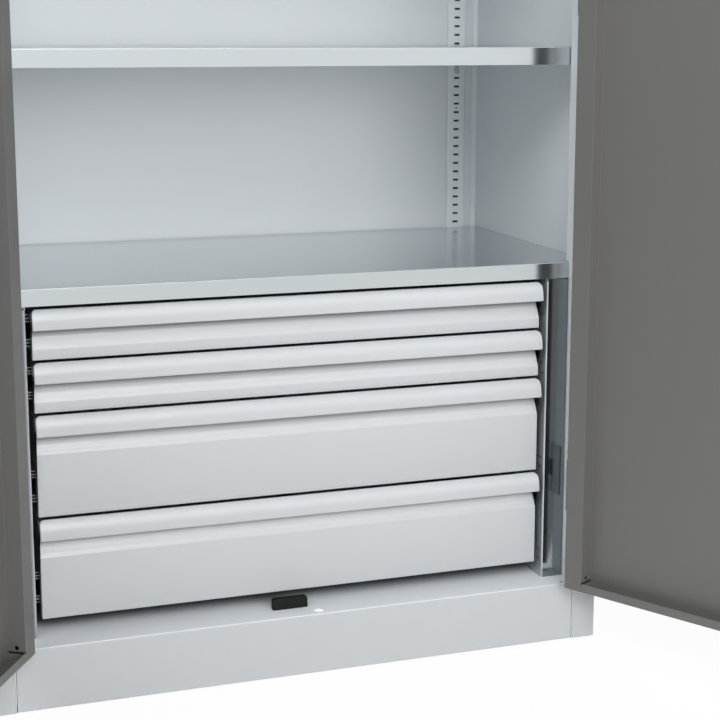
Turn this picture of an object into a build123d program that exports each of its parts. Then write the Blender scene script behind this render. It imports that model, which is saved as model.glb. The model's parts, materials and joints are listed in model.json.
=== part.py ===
from build123d import *
from math import acos, cos, pi, radians, sin, tan
import os

# Two-door steel cabinet with a block of four drawers. X right, Y back, Z up, millimetres.
# The origin is on the floor, under the middle of the carcase.

# Overall size
width = 930
depth = 500
height = 1950
foot_out = 3  # how far the levelling feet stand below the plinth
plinth_height = 91
rail_height = 45  # roof rail over the doors

# Painted carcase sheet
sheet = 1.5
bend = 2.5  # outer radius of a fold
fit = 0.3  # gap where two fixed sheets meet
post_face = 39
post_return = 50
rear_flange = 8.6
back_sheet = 1.2
floor_lip = 24
floor_hole_in = 15  # small holes by the posts, from the post and from the front
floor_hole_back = 9
floor_hole_radius = 2.5
plinth_lip = 25
rail_lip = 60
rail_hem = 12

# Levelling feet
foot_plate_thick = 4
foot_plate_z = 24
foot_pad_radius = 13
foot_pad_height = 6
stud_radius = 4
stud_length = 42
nut_flats = 13
nut_height = 6.5
pad_taper = 8  # degrees
rear_foot_y = 200
running = 0.05  # radial clearance of a turned fit

# Slotted rails for the shelves
rail_width = 34
rail_depth = 4.5
rail_sheet = 1.2
rail_fold = 3
rear_rail_x = 423.8
slot_pitch = 15
slot_width = 10
slot_height = 3.5
slot_phase = 3  # height of slot number nought
first_slot = 8
last_slot = 125
rail_fixing_radius = 1.6
rail_fixings = range(13, 125, 20)  # slots with a small hole half a pitch above them

# Shelves
shelf_height = 26
shelf_sheet = 1.2
shelf_setback = 2  # from the posts' rear face to the shelf's front
shelf_slots = (58, 80, 102)
clip_drop = 16  # from a shelf's underside to the slot that carries it
clip_sheet = 1.5
clip_width = 8
clip_ledge = 18
clip_tab = 2.4
shelf_lip = 12

# Drawer block
block_setback = 38  # from the cabinet's front to the block's front
cover_height = 24.3
cover_gap = 5.1  # from the top drawer to the cover
block_sheet = 1.5
block_flange_gap = 1.4  # from a side's front flange to the post
block_in = 75  # from the cabinet's outer faces to the clear width between the block's sides
block_seam = 1.2  # gap above the front flanges, under the cover
block_relief = 4  # notch at the top of each flange's fold
hook_slot_height = 2.2
hook_slot_start = 9  # from the block's front
hook_slot_length = 13
hook_slot_levels = (3, 19)  # above a drawer's lower edge
block_foot = 28
block_rear = 235
tie_height = 36
tie_tab = 20
screw_radius = 2.5
screw_out = 15  # from a block side's face to its floor screws
screw_y = 150
screw_head_radius = 4.5
screw_head_height = 3

# Drawers, listed from the top one down as a count of height units
drawer_units = (1, 1, 2, 2)
drawer_unit = 74.8
drawer_gap = 3.2
drawer_floor_gap = 24  # from the floor panel to the lowest drawer
front_in = 83.5  # from the cabinet's outer faces to the fronts' ends
front_sheet = 1.2
front_return = 10  # rim folded in behind a front, where the tray is fixed
lip_height = 28
slope_height = 28.5
lip_reach = 31  # depth of each line of the front behind the cabinet's front
lip_top_reach = 43
face_reach = 46
recess_reach = 60
front_back_reach = 64
lip_bulge = 2.6
lip_corner = 7
tray_sheet = 1
tray_depth = 396
tray_lift = 6  # from the front's lower edge to the tray's floor
tray_drop = 16  # from the front's top edge to the tray's rim
tray_rim = 8

# Telescopic runners
runner_width = 12.7
runner_height = 45.6
runner_sheet = 1.2
runner_length = 383
runner_gap = 14  # from a front's back plane to the runner members
runner_fold = 0.4  # inner radius of a member's folds
runner_lift = 8  # from the tray's floor to the runner's lower edge
ball_size = 3.3
ball_room = 3.4
web_room = 0.8
ball_pitch = 12
balls_in_row = 6
cage_sheet = 0.6
cage_width = 1.5
drawer_travel = 380

# Doors
door_thick = 25
door_sheet = 1.2
door_gap = 3  # above and below a door
door_split = 2.6  # between the two doors
stile = 30
door_rim = 13
strip_width = 40
strip_lap = 11
drain_radius = 3  # hole at the foot of a door's hinge-side stile
drain_up = 19  # above the door's lower edge
door_angle = 120  # how far the doors stand open

# Hinges
hinge_heights = (260, 1000, 1740)
leaf = 1.8
leaf_gap = 0.6
leaf_depth = 24
barrel_radius = 5
pin_radius = 2.5
knuckle = 26
knuckle_gap = 0.5
pin_head = 2

# Three-point lock
lock_z = 1050
lock_x = 24
rod_x = 18.5
rod_y_in = 16  # from the door's outer face to the rods' line
rod_radius = 4
rod_inset = 1.5  # from a door's edge to the end of a drawn-back rod
strike_hole_radius = 8
gear_module = 1.25
gear_teeth = 18
gear_width = 8
pressure_angle = 20
backlash = 0.3
rack_thick = 5.5
rack_depth = 6
rack_steps = range(-2, 7)  # teeth of a rack, counted in the rod's own way from the pinion's line
rack_over = 5  # from a rack's last tooth to its end
link_gap = 5.5  # from the pinion's tips to the bar that joins rack and rod
link_height = 6
case_half_width = 21
case_half_height = 46
case_sheet = 1.2
journal_radius = 7
spindle = 8
rose_width = 34
rose_up = 30
rose_down = 78
rose_thick = 6
rose_corner = 6
rose_round = 1.5
handle_gap = 0.3
hub_radius = 12
hub_height = 14
lever_length = 118
lever_root = 19
lever_height = 14
lever_thick = 8
lever_round = 2.5
key_drop = 60
key_radius = 6
key_proud = 2
key_length = 14
keyhole_width = 1.6
cam_thick = 2
cam_width = 6
cam_length = 12
guide_height = 20

# Door stops
stop_width = 53
stop_centre = -20.5
stop_depth = 20
stop_height = 16.5
stop_reach = 33
stop_corner = 3

# Lines that many pieces share
half_width = width / 2
front = -depth / 2
rear = depth / 2
floor_z = foot_out + plinth_height
roof_under = height - sheet
rail_under = height - rail_height
wall = half_width - sheet
opening = half_width - post_face
block_half = half_width - block_in
post_rear = front + post_return
back_inner = rear - back_sheet

os.makedirs("parts", exist_ok=True)


def folded(points, thick, side, radius=bend):
    """Section of a folded sheet whose first face follows the points, with its thickness on one side."""
    way = 1 if side == Side.LEFT else -1
    first = [Vector(*point) for point in points]
    runs = [(b - a).normalized() for a, b in zip(first, first[1:])]
    normals = [Vector(-run.Y, run.X) * way for run in runs]
    second = [first[0] + normals[0] * thick]
    first_radii, second_radii = [], []
    for n in range(1, len(runs)):
        mitre = (normals[n - 1] + normals[n]) * (thick / (1 + normals[n - 1].dot(normals[n])))
        second.append(first[n] + mitre)
        inside = runs[n - 1].cross(runs[n]).Z * way > 0
        first_radii.append(radius if inside else radius - thick)
        second_radii.append(radius - thick if inside else radius)
    second.append(first[-1] + normals[-1] * thick)
    with BuildSketch() as section:
        with BuildLine():
            FilletPolyline(*first, radius=first_radii)
            FilletPolyline(*second, radius=second_radii)
            Line(first[0], second[0])
            Line(first[-1], second[-1])
        make_face()
    return section.sketch


def add_block(x, y, z, mode=Mode.ADD):
    """Puts a box between two limits on each axis into the piece being built."""
    size = [limits[1] - limits[0] for limits in (x, y, z)]
    with Locations(tuple(sum(limits) / 2 for limits in (x, y, z))):
        Box(*size, mode=mode)


def save(piece, name):
    """Labels a finished piece and writes it under its own name."""
    piece.part.label = name
    export_step(piece.part, f"parts/{name}.step")


def save_both(right, name):
    """Writes a right-hand piece and its mirror image."""
    save(right, name + "_right")
    with BuildPart() as left:
        mirror(right.part, about=Plane.YZ)
    save(left, name + "_left")


# Side panels, each folded round its front post
with BuildPart() as side_panel:
    with BuildSketch(Plane.XY.offset(foot_out)):
        add(
            folded(
                [
                    (wall - rear_flange, back_inner),
                    (half_width, back_inner),
                    (half_width, front),
                    (opening, front),
                    (opening, post_rear),
                    (wall - fit, post_rear),
                ],
                sheet,
                Side.RIGHT,
            )
        )
    extrude(amount=roof_under - foot_out)
save_both(side_panel, "side_panel")

# Back panel
with BuildPart() as back_panel:
    add_block((-half_width, half_width), (back_inner, rear), (foot_out, roof_under))
save(back_panel, "back_panel")

# Roof with the rail over the doors
rod_y = front + rod_y_in
with BuildPart() as top_panel:
    with BuildSketch(Plane.YZ.offset(-(opening - fit))):
        add(
            folded(
                [
                    (rear, height),
                    (front, height),
                    (front, rail_under),
                    (front + rail_lip, rail_under),
                    (front + rail_lip, rail_under + rail_hem),
                ],
                sheet,
                Side.LEFT,
            )
        )
    extrude(amount=2 * (opening - fit))
    for x in ((-half_width, fit - opening), (opening - fit, half_width)):
        add_block(x, (front, rear), (roof_under, height))
    with BuildSketch(Plane.XY.offset(rail_under)):
        with Locations((rod_x, rod_y)):
            Circle(strike_hole_radius)
    extrude(amount=sheet, mode=Mode.SUBTRACT)
save(top_panel, "top_panel")

# Floor panel and plinth front in one sheet
floor_hole_x = opening - floor_hole_in
screw_x = block_half + screw_out
with BuildPart() as floor_panel:
    with BuildSketch(Plane.YZ.offset(-(opening - fit))):
        add(
            folded(
                [
                    (back_inner - sheet - fit, floor_z - floor_lip),
                    (back_inner - sheet - fit, floor_z),
                    (front, floor_z),
                    (front, foot_out),
                    (front + plinth_lip, foot_out),
                ],
                sheet,
                Side.LEFT,
            )
        )
    extrude(amount=2 * (opening - fit))
    for x in ((fit - wall, fit - opening), (opening - fit, wall - fit)):
        add_block(x, (post_rear + fit, back_inner - sheet - fit - bend), (floor_z - sheet, floor_z))
    with BuildSketch(Plane.XY.offset(floor_z - sheet)):
        with Locations((rod_x, rod_y)):
            Circle(strike_hole_radius)
        with Locations([(x, front + floor_hole_back) for x in (-floor_hole_x, floor_hole_x)]):
            Circle(floor_hole_radius)
    extrude(amount=sheet, mode=Mode.SUBTRACT)
    screw_spots = [(x, y) for x in (-screw_x, screw_x) for y in (-screw_y, screw_y)]
    with Locations([(x, y, floor_z) for x, y in screw_spots]):
        Hole(screw_radius, depth=sheet)
save(floor_panel, "floor_panel")

# Rear plinth
plinth_rear_y = back_inner - 2 * sheet - 2 * fit
with BuildPart() as plinth_rear:
    with BuildSketch(Plane.YZ.offset(fit - wall)):
        add(
            folded(
                [
                    (plinth_rear_y - plinth_lip, floor_z - sheet - fit),
                    (plinth_rear_y, floor_z - sheet - fit),
                    (plinth_rear_y, foot_out),
                    (plinth_rear_y - plinth_lip, foot_out),
                ],
                sheet,
                Side.RIGHT,
            )
        )
    extrude(amount=2 * (wall - fit))
save(plinth_rear, "plinth_rear")

# Nut plates and levelling feet, four of each
plate_x = (opening + sheet + wall) / 2
plate_width = wall - opening - sheet - 2 * fit
plate_depth = post_return - 2 * sheet - 2 * fit
front_foot_y = front + post_return / 2
foot_spots = [(x * plate_x, y) for x in (-1, 1) for y in (front_foot_y, rear_foot_y)]
with BuildPart() as foot_plates:
    with BuildSketch(Plane.XY.offset(foot_plate_z)):
        with Locations(foot_spots):
            Rectangle(plate_width, plate_depth)
            Circle(stud_radius + running, mode=Mode.SUBTRACT)
    extrude(amount=foot_plate_thick)
save(foot_plates, "foot_plates")

with BuildPart() as foot_studs:
    with BuildSketch(Plane.XY.offset(foot_pad_height)):
        with Locations(foot_spots):
            Circle(stud_radius)
    extrude(amount=stud_length)
    with BuildSketch(Plane.XY.offset(foot_plate_z - nut_height)):
        with Locations(foot_spots):
            RegularPolygon(nut_flats / 2, 6, major_radius=False)
    extrude(amount=nut_height)
save(foot_studs, "foot_studs")

with BuildPart() as foot_pads:
    with BuildSketch():
        with Locations(foot_spots):
            Circle(foot_pad_radius)
    extrude(amount=foot_pad_height, taper=pad_taper)
save(foot_pads, "foot_pads")

# Slotted rails: a rear pair on the back panel, a front pair on the posts
rail_bottom = floor_z + fit
rail_top = rail_under - fit
front_rail_x = (opening + wall) / 2
slot_levels = [slot_phase + slot_pitch * n for n in range(first_slot, last_slot + 1)]


def slotted_rail(x, seat, way):
    """Shallow channel standing on a seat plane and facing the shelves, way is +1 towards the back."""
    face = seat + way * rail_depth
    corners = [(x - rail_width / 2, seat), (x - rail_width / 2, face)]
    corners += [(x + rail_width / 2, face), (x + rail_width / 2, seat)]
    with BuildPart() as rail:
        with BuildSketch(Plane.XY.offset(rail_bottom)):
            add(folded(corners, rail_sheet, Side.RIGHT if way > 0 else Side.LEFT, rail_fold))
        extrude(amount=rail_top - rail_bottom)
        with Locations([(x, face, level) for level in slot_levels]):
            Box(slot_width, 4 * rail_sheet, slot_height, mode=Mode.SUBTRACT)
        with Locations([(x, face, slot_phase + slot_pitch * (n + 0.5)) for n in rail_fixings]):
            Cylinder(rail_fixing_radius, 4 * rail_sheet, rotation=(90, 0, 0), mode=Mode.SUBTRACT)
    return rail.part


for name, rail_x, seat, way in (
    ("shelf_rails_rear", rear_rail_x, back_inner, -1),
    ("shelf_rails_front", front_rail_x, post_rear, 1),
):
    right_rail = slotted_rail(rail_x, seat, way)
    with BuildPart() as rails:
        add(right_rail)
        mirror(right_rail, about=Plane.YZ)
    save(rails, name)


# Shelves and the cover of the drawer block: trays upside down, notched round the posts
shelf_rear = back_inner - rail_depth - fit
shelf_wide = wall - 2 * fit
shelf_narrow = opening - 2 * fit
notch_y = post_rear + rail_depth + fit


def shelf(front_y, top, deep, thick):
    """Folded shelf between the side walls, its front part between the posts."""
    outline = [
        (shelf_narrow, front_y),
        (shelf_narrow, notch_y),
        (shelf_wide, notch_y),
        (shelf_wide, shelf_rear),
    ]
    outline += [(-x, y) for x, y in reversed(outline)]
    with BuildPart() as tray:
        with BuildSketch(Plane.XY.offset(top - deep)) as plan:
            with BuildLine():
                Polyline(*outline, close=True)
            make_face()
        extrude(amount=deep)
        with BuildSketch(Plane.XY.offset(top - deep)):
            offset(plan.face(), amount=-thick, kind=Kind.INTERSECTION)
        extrude(amount=deep - thick, mode=Mode.SUBTRACT)
        lip_half = shelf_narrow - thick
        add_block((-lip_half, lip_half), (front_y, front_y + shelf_lip), (top - deep, top - deep + thick))
        fillet(tray.edges().filter_by(Axis.X).group_by(Axis.Z)[-1].group_by(Axis.Y)[0], thick)
    return tray


shelf_undersides = [slot_phase + slot_pitch * n + clip_drop for n in shelf_slots]
for name, under in zip(("shelf_lower", "shelf_middle", "shelf_upper"), shelf_undersides):
    save(shelf(post_rear + shelf_setback, under + shelf_height, shelf_height, shelf_sheet), name)

block_front = front + block_setback
drawers_z = floor_z + drawer_floor_gap
drawers_top = drawers_z + drawer_unit * sum(drawer_units)
drawer_bases = [drawers_top - drawer_unit * sum(drawer_units[: n + 1]) for n in range(len(drawer_units))]
cover_z = drawers_top - drawer_gap + cover_gap
save(shelf(block_front, cover_z + cover_height, cover_height, block_sheet), "block_cover")

# Clips hooked into the slots, four under each shelf
clip_x_half = clip_width / 2
with BuildPart() as shelf_clips:
    for under in shelf_undersides:
        slot_z = under - clip_drop
        for x in (rear_rail_x, front_rail_x, -rear_rail_x, -front_rail_x):
            at_rear = abs(x) == rear_rail_x
            way = -1 if at_rear else 1
            face = back_inner - rail_depth if at_rear else post_rear + rail_depth

            def reach(start, end):
                """Limits in Y of a stretch measured from the rail's face towards the shelf."""
                return tuple(sorted((face + way * start, face + way * end)))

            span = (x - clip_x_half, x + clip_x_half)
            inner = rail_sheet + fit
            add_block(span, reach(fit, fit + clip_sheet), (slot_z - clip_drop / 2, under))
            add_block(span, reach(fit, clip_ledge), (under - clip_sheet, under))
            add_block(span, reach(-inner - clip_sheet, fit), (slot_z - clip_tab / 2, slot_z + clip_tab / 2))
            add_block(span, reach(-inner - clip_sheet, -inner), (slot_z - clip_drop / 3, slot_z))
save(shelf_clips, "shelf_clips")

# Sides of the drawer block, with a pair of hook slots for each runner
side_top = cover_z - fit
flange_end = opening - block_flange_gap
flange_y = (block_front, block_front + bend)
with BuildPart() as block_side:
    with BuildSketch(Plane.XY.offset(floor_z)):
        add(
            folded(
                [
                    (flange_end, block_front),
                    (block_half, block_front),
                    (block_half, block_rear),
                    (block_half + block_foot, block_rear),
                ],
                block_sheet,
                Side.RIGHT,
            )
        )
    extrude(amount=side_top - floor_z)
    foot_x = (block_half + block_sheet, block_half + block_foot)
    foot_y = (block_front + block_sheet, block_rear - block_sheet)
    for z in (floor_z, side_top - block_sheet):
        add_block(foot_x, foot_y, (z, z + block_sheet))
    with Locations([(x, y, floor_z + block_sheet) for x, y in screw_spots if x > 0]):
        Hole(screw_radius, depth=block_sheet)
    add_block((block_half, flange_end), flange_y, (side_top - block_seam, side_top), mode=Mode.SUBTRACT)
    relief_x = (block_half, block_half + block_relief)
    add_block(relief_x, flange_y, (side_top - block_relief, side_top), mode=Mode.SUBTRACT)
    slot_y = block_front + hook_slot_start + hook_slot_length / 2
    with Locations([(block_half, slot_y, base + level) for base in drawer_bases for level in hook_slot_levels]):
        Box(4 * block_sheet, hook_slot_length, hook_slot_height, mode=Mode.SUBTRACT)
save_both(block_side, "block_side")

# Tie between the block's sides at the rear
tie_top = side_top - fit
tie_half = block_half - fit
with BuildPart() as block_rear_tie:
    with BuildSketch(Plane.XY.offset(tie_top - tie_height)):
        add(
            folded(
                [
                    (-tie_half, block_rear - tie_tab),
                    (-tie_half, block_rear),
                    (tie_half, block_rear),
                    (tie_half, block_rear - tie_tab),
                ],
                block_sheet,
                Side.RIGHT,
            )
        )
    extrude(amount=tie_height)
save(block_rear_tie, "block_rear_tie")

# Screws that hold the block to the floor panel
with BuildPart() as block_screws:
    with BuildSketch(Plane.XY.offset(floor_z + block_sheet)):
        with Locations(screw_spots):
            RegularPolygon(screw_head_radius, 6)
    extrude(amount=screw_head_height)
    with BuildSketch(Plane.XY.offset(floor_z - 3 * sheet)):
        with Locations(screw_spots):
            Circle(screw_radius)
    extrude(amount=3 * sheet + block_sheet)
save(block_screws, "block_screws")

# Drawer fronts, trays and runners
lip_front = front + lip_reach
lip_top = front + lip_top_reach
face_y = front + face_reach
recess_y = front + recess_reach
front_back = front + front_back_reach
front_half = half_width - front_in
runner_face = block_half - runner_width
tray_half = runner_face
tray_rear = front_back + tray_depth
runner_start = front_back + runner_gap


def drawer_front(base, tall):
    """Folded front: a lip to pull at, a slope under it and a flat face, hollow, with a rim at the back."""
    top = base + tall
    lip_z = top - lip_height
    middle = ((lip_front + lip_top) / 2 - lip_bulge, lip_z + lip_height / 2 + lip_bulge / 2)
    with BuildPart() as piece:
        with BuildSketch(Plane.YZ.offset(-front_half)) as outline:
            with BuildLine():
                Polyline(
                    (front_back, top),
                    (front_back, base),
                    (face_y, base),
                    (face_y, lip_z - slope_height),
                    (recess_y, lip_z),
                    (lip_front, lip_z),
                )
                ThreePointArc((lip_front, lip_z), middle, (lip_top, top))
                Line((lip_top, top), (front_back, top))
            make_face()
        extrude(amount=2 * front_half)
        with BuildSketch(Plane.YZ.offset(front_sheet - front_half)):
            offset(outline.face(), amount=-front_sheet, kind=Kind.INTERSECTION)
        extrude(amount=2 * (front_half - front_sheet), mode=Mode.SUBTRACT)
        window = front_half - front_return
        window_z = (base + front_return, top - front_return)
        add_block((-window, window), (front_back - front_sheet, front_back), window_z, mode=Mode.SUBTRACT)
        with BuildSketch(Plane.XZ.offset(-front_back)) as shape:
            with Locations((0, (base + top) / 2)):
                Rectangle(2 * front_half, tall)
            fillet(shape.vertices().group_by(Axis.Y)[-1], lip_corner)
        extrude(amount=front_back - lip_front, mode=Mode.INTERSECT)
    return piece


def drawer_tray(base, tall):
    """Open tray behind a front, with a rim folded inwards along its sides."""
    floor = base + tray_lift
    rim = base + tall - tray_drop
    y = (front_back, tray_rear)
    with BuildPart() as piece:
        add_block((-tray_half, tray_half), y, (floor, rim))
        room = (-tray_half + tray_sheet, tray_half - tray_sheet)
        add_block(
            room,
            (y[0] + tray_sheet, y[1] - tray_sheet),
            (floor + tray_sheet, rim - tray_sheet),
            mode=Mode.SUBTRACT,
        )
        clear = tray_half - tray_sheet - tray_rim
        add_block(
            (-clear, clear),
            (y[0] + tray_sheet, y[1] - tray_sheet),
            (rim - tray_sheet, rim),
            mode=Mode.SUBTRACT,
        )
    return piece


def channel(web, room, thick, half_height, level, way):
    """Runner member on the right side: a web at x = web and two flanges, open towards way."""
    tip = web + way * room
    with BuildPart() as piece:
        with BuildSketch(Plane.XZ.offset(-runner_start)):
            add(
                folded(
                    [
                        (tip, level - half_height),
                        (web, level - half_height),
                        (web, level + half_height),
                        (tip, level + half_height),
                    ],
                    thick,
                    Side.RIGHT if way > 0 else Side.LEFT,
                    thick + runner_fold,
                )
            )
        extrude(amount=-runner_length)
    return piece


def ball_row(x, z, start):
    """Balls in a thin cage strip."""
    length = ball_pitch * balls_in_row
    with BuildPart() as piece:
        with Locations((x, start + length / 2, z)):
            Box(cage_width, length, cage_sheet)
        with Locations([(x, start + ball_pitch * (n + 0.5), z) for n in range(balls_in_row)]):
            Sphere(ball_size / 2)
    return piece


outer_half = runner_height / 2
middle_half = outer_half - runner_sheet - ball_room
inner_half = middle_half - runner_sheet - ball_room
middle_web = block_half - runner_sheet - web_room
inner_tip = middle_web - runner_sheet - web_room
middle_room = middle_web - runner_face - 2 * web_room
ball_x = block_half - runner_width / 2
outer_balls = runner_start + runner_length / 2 + ball_pitch
inner_balls = runner_start + fit
outer_members = []

for number, (base, units) in enumerate(zip(drawer_bases, drawer_units), start=1):
    tall = units * drawer_unit - drawer_gap
    level = base + tray_lift + runner_lift + runner_height / 2
    save(drawer_front(base, tall), f"drawer_front_{number}")
    save(drawer_tray(base, tall), f"drawer_tray_{number}")
    outer_members.append(channel(block_half, runner_width - web_room, runner_sheet, outer_half, level, -1))
    middle = channel(middle_web, middle_room, runner_sheet, middle_half, level, -1)
    inner = channel(runner_face, inner_tip - runner_face, runner_sheet, inner_half, level, 1)
    rows = []
    for way in (-1, 1):
        rows.append(ball_row(ball_x, level + way * (middle_half + ball_room / 2), outer_balls))
        rows.append(ball_row(ball_x, level + way * (inner_half + ball_room / 2), inner_balls))
    for name, pieces in (
        ("runner_middle", [middle]),
        ("runner_inner", [inner]),
        ("runner_balls", rows),
    ):
        with BuildPart() as pair:
            for piece in pieces:
                add(piece.part)
                mirror(piece.part, about=Plane.YZ)
        save(pair, f"{name}_{number}")

with BuildPart() as runner_outer:
    for member in outer_members:
        add(member.part)
save_both(runner_outer, "runner_outer")

# Stops of black plastic at the middle, one on the floor panel and one under the roof rail
stop_y = (front + stop_reach, front + stop_reach + stop_depth)
stop_x = (stop_centre - stop_width / 2, stop_centre + stop_width / 2)
with BuildPart() as door_stops:
    for z in ((floor_z, floor_z + stop_height), (rail_under - stop_height, rail_under)):
        add_block(stop_x, stop_y, z)
    fillet(door_stops.edges().filter_by(Axis.Z), stop_corner)
save(door_stops, "door_stops")

# Doors are drawn closed and saved standing open, turned about their hinge pins
pin_x = opening - leaf / 2
pin_y = front - barrel_radius
door_edge = opening - 2 * leaf - leaf_gap
door_free = door_split / 2
door_low = floor_z + door_gap
door_high = rail_under - door_gap
door_inner = front + door_thick
skin_inner = front + door_sheet


def save_on_door(closed, name, way):
    """Turns a piece from its door's closed place to the open one and writes it, way is +1 on the right."""
    pin = Axis((way * pin_x, pin_y, 0), (0, 0, 1))
    with BuildPart() as opened:
        add(closed.part.rotate(pin, way * door_angle))
    save(opened, name)


def door_pan():
    """Right-hand door: a shallow pan with a box-shaped stile along each side."""
    x = (door_free, door_edge)
    y = (front, door_inner)
    z = (door_low, door_high)
    with BuildPart() as pan:
        add_block(x, y, z)
        fillet(pan.edges().filter_by(Axis.Z).group_by(Axis.Y)[0], door_sheet)
        hollow_x = (x[0] + door_sheet, x[1] - door_sheet)
        hollow_z = (z[0] + door_sheet, z[1] - door_sheet)
        add_block(hollow_x, (skin_inner, door_inner - door_sheet), hollow_z, mode=Mode.SUBTRACT)
        window_z = (z[0] + door_rim, z[1] - door_rim)
        add_block((x[0] + stile, x[1] - stile), (skin_inner, door_inner), window_z, mode=Mode.SUBTRACT)
        for edge in (x[0] + stile - door_sheet, x[1] - stile):
            add_block((edge, edge + door_sheet), (skin_inner - fit, door_inner - fit), hollow_z)
        with Locations((x[1] - stile + door_sheet / 2, door_inner - door_rim, z[0] + drain_up)):
            Cylinder(drain_radius, 2 * door_sheet, rotation=(0, 90, 0), mode=Mode.SUBTRACT)
    return pan


rod_hole_radius = rod_radius + 3 * fit
case_x = (lock_x - case_half_width, lock_x + case_half_width)
case_y = (skin_inner + fit, door_inner - door_sheet)
case_z = (lock_z - case_half_height, lock_z + case_half_height)
key_z = lock_z - key_drop
key_hole_radius = key_radius + 2 * running
spindle_hole_radius = spindle / 2 * 2**0.5 + 3 * fit

plain_pan = door_pan()
with BuildPart() as door_left:
    mirror(plain_pan.part, about=Plane.YZ)
save_on_door(door_left, "door_left", -1)

with BuildPart() as door_right:
    add(plain_pan.part)
    add_block(
        (case_x[0] - fit / 2, case_x[1] + fit),
        (skin_inner, door_inner),
        (case_z[0] - fit, case_z[1] + fit),
        mode=Mode.SUBTRACT,
    )
    for z in (door_low, door_high - door_sheet):
        with Locations((rod_x, rod_y, z + door_sheet / 2)):
            Cylinder(rod_hole_radius, 2 * door_sheet, mode=Mode.SUBTRACT)
    for radius, z in ((spindle_hole_radius, lock_z), (key_hole_radius, key_z)):
        with Locations((lock_x, front, z)):
            Cylinder(radius, 3 * door_sheet, rotation=(90, 0, 0), mode=Mode.SUBTRACT)
save_on_door(door_right, "door_right", 1)

# Strip behind the left door's free edge, which the right door closes over
with BuildPart() as door_left_strip:
    add_block(
        (-door_free + strip_lap - strip_width, -door_free + strip_lap),
        (door_inner + fit, door_inner + fit + door_sheet),
        (door_low + door_gap, door_high - door_gap),
    )
save_on_door(door_left_strip, "door_left_strip", -1)

# Hinges: two knuckles on the post, one on the door, and a pin through them
knuckle_step = knuckle + knuckle_gap
hinge_half = knuckle_step + knuckle / 2
neck_y = pin_y + pin_radius + fit
flat_y = pin_y + barrel_radius + fit


def hinge_leaf(face, knuckles):
    """Flat leaf at x = face with knuckles at the given steps from the hinge's middle."""
    with BuildPart() as piece:
        for middle_z in hinge_heights:
            ends = (middle_z - hinge_half, middle_z + hinge_half)
            add_block((face, face + leaf), (flat_y, flat_y + leaf_depth), ends)
            for step in knuckles:
                z = middle_z + step * knuckle_step
                span = (z - knuckle / 2, z + knuckle / 2)
                add_block((face, face + leaf), (neck_y, flat_y), span)
                with Locations((pin_x, pin_y, z)):
                    Cylinder(barrel_radius, knuckle)
            with Locations((pin_x, pin_y, middle_z)):
                Cylinder(pin_radius + running, 2 * hinge_half, mode=Mode.SUBTRACT)
    return piece


post_leaves = hinge_leaf(opening - leaf, (-1, 1))
with BuildPart() as hinge_leaves_post:
    add(post_leaves.part)
    mirror(post_leaves.part, about=Plane.YZ)
save(hinge_leaves_post, "hinge_leaves_post")

door_leaves = hinge_leaf(door_edge, (0,))
save_on_door(door_leaves, "hinge_leaves_right", 1)
with BuildPart() as left_leaves:
    mirror(door_leaves.part, about=Plane.YZ)
save_on_door(left_leaves, "hinge_leaves_left", -1)

with BuildPart() as hinge_pins:
    for x in (-pin_x, pin_x):
        for middle_z in hinge_heights:
            with Locations((x, pin_y, middle_z)):
                Cylinder(pin_radius, 2 * hinge_half)
            with Locations((x, pin_y, middle_z + hinge_half + pin_head / 2)):
                Cylinder(barrel_radius, pin_head)
save(hinge_pins, "hinge_pins")

# Lock case, open where the rods and the spindle pass
with BuildPart() as lock_case:
    add_block(case_x, case_y, case_z)
    room = [(limits[0] + case_sheet, limits[1] - case_sheet) for limits in (case_x, case_y, case_z)]
    add_block(*room, mode=Mode.SUBTRACT)
    with Locations((lock_x, sum(case_y) / 2, lock_z)):
        Cylinder(journal_radius + running, 2 * door_thick, rotation=(90, 0, 0), mode=Mode.SUBTRACT)
    with Locations((rod_x, rod_y, lock_z)):
        Cylinder(rod_radius + fit, 4 * case_half_height, mode=Mode.SUBTRACT)
save_on_door(lock_case, "lock_case", 1)

# Gear of the lock: involute teeth on the pinion, straight flanks on the two racks
pitch_radius = gear_module * gear_teeth / 2
base_radius = pitch_radius * cos(radians(pressure_angle))
tip_height = 0.95 * gear_module
root_depth = 1.25 * gear_module
tip_radius = pitch_radius + tip_height
root_radius = pitch_radius - root_depth
tooth_pitch = pi * gear_module
tooth_width = tooth_pitch / 2 - backlash / 2


def involute(angle):
    return tan(angle) - angle


def flank_point(radius):
    """Point of a tooth's flank, the tooth standing along the first axis."""
    there = acos(min(1, base_radius / radius))
    half = tooth_width / 2 / pitch_radius + involute(radians(pressure_angle)) - involute(there)
    return radius * cos(half), radius * sin(half)


flank = [flank_point(base_radius + (tip_radius - base_radius) * share / 4) for share in range(5)]
outline = [(root_radius - fit, flank[0][1])] + flank
outline += [(x, -y) for x, y in reversed(outline)]
with BuildSketch() as tooth:
    with BuildLine():
        Polyline(*outline, close=True)
    make_face()

spindle_bore = spindle + 2 * running
with BuildPart() as lock_pinion:
    with BuildSketch(Plane.XZ.offset(gear_width / 2 - rod_y)):
        with Locations((lock_x, lock_z)):
            Circle(root_radius)
            with PolarLocations(0, gear_teeth):
                add(tooth.sketch)
    extrude(amount=-gear_width)
    with Locations((lock_x, sum(case_y) / 2, lock_z)):
        Cylinder(journal_radius, case_y[1] - case_y[0], rotation=(90, 0, 0))
        Box(spindle_bore, 2 * door_thick, spindle_bore, mode=Mode.SUBTRACT)
save_on_door(lock_pinion, "lock_pinion", 1)

# Locking rods, each with a rack on its own side of the pinion
rack_root = pitch_radius + root_depth
rack_outer = rack_root + rack_thick
half_foot = tooth_width / 2 + root_depth * tan(radians(pressure_angle))
half_tip = tooth_width / 2 - tip_height * tan(radians(pressure_angle))
link_start = tip_radius + link_gap
link_end = link_start + link_height
rack_end = link_end + rack_over


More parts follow.
